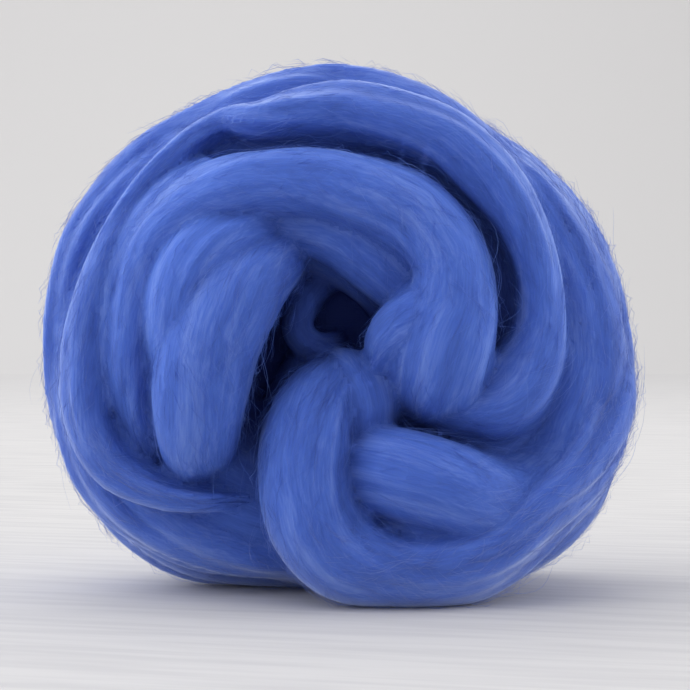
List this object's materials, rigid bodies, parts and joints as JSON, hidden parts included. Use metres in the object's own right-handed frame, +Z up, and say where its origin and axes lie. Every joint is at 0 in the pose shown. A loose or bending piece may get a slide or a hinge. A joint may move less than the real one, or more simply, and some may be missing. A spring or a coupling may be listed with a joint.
{
  "type": "wool roving ball",
  "caption": "Soft ball of blue combed wool roving, wound by hand from a thick strand and stood on its rim, for felting and spinning.",
  "frame": {"origin": "middle of the ball's footprint, on the floor it stands on", "axes": "+X along the ball's width, to the right of the face with the folds; -Y is where that face looks; +Z up"},
  "size_m": [0.1612, 0.0888, 0.1416],
  "materials": {
    "wool": "soft matte combed wool with a fine nap of loose fibres"
  },
  "bodies": {
    "root": {"roving_ball": "wool"}
  },
  "joints": []
}
